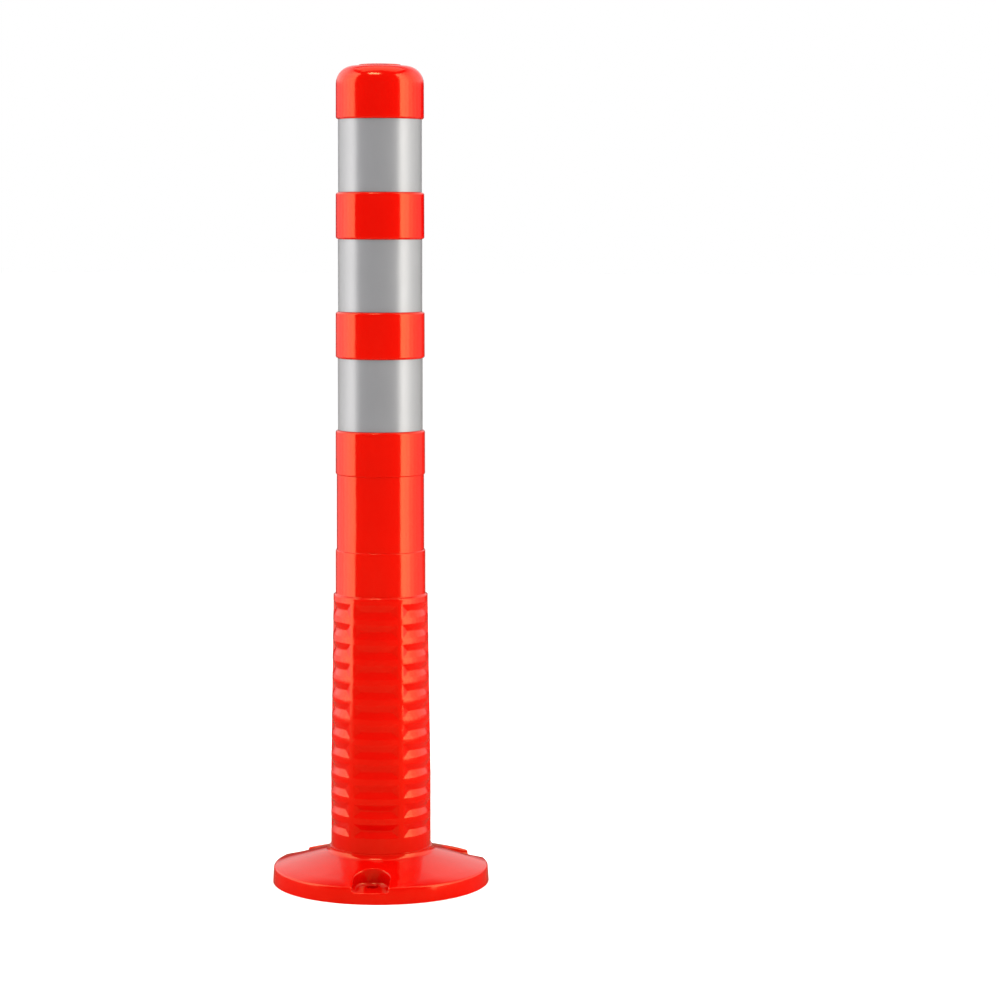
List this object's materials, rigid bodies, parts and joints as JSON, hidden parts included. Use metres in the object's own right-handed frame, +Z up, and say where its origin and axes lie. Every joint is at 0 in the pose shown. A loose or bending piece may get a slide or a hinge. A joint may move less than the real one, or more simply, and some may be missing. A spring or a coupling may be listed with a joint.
{
  "type": "delineator post",
  "caption": "Flexible bolt-down road delineator post with reflective bands; it bends over at its ribbed lower section and springs back.",
  "frame": {"origin": "centre of the base's underside, on the ground and on the post's axis", "axes": "+Z up along the post; one bolt pocket faces -Y, and the other two are a third of a turn to each side"},
  "size_m": [0.2, 0.2, 0.75],
  "materials": {
    "tpu_orange": "glossy fluorescent red-orange thermoplastic polyurethane, moulded",
    "reflective_film": "satin silver-grey retroreflective film"
  },
  "bodies": {
    "base": {"base_flange": "tpu_orange", "post_foot": "tpu_orange"},
    "flex_section": {"post_flex_section": "tpu_orange"},
    "upper_post": {"post_upper": "tpu_orange", "reflective_band_top": "reflective_film", "reflective_band_middle": "reflective_film", "reflective_band_bottom": "reflective_film"}
  },
  "joints": [
    {"name": "bend_front_back", "type": "hinge", "parent": "base", "child": "flex_section", "pos_m": [0, 0, 0.10045], "axis": [1, 0, 0], "range_deg": [-90, 90], "stiffness_Nm_per_rad": 30, "deforming": ["post_flex_section"]},
    {"name": "bend_left_right", "type": "hinge", "parent": "flex_section", "child": "upper_post", "pos_m": [0, 0, 0.24685], "axis": [0, 1, 0], "range_deg": [-90, 90], "stiffness_Nm_per_rad": 30}
  ]
}
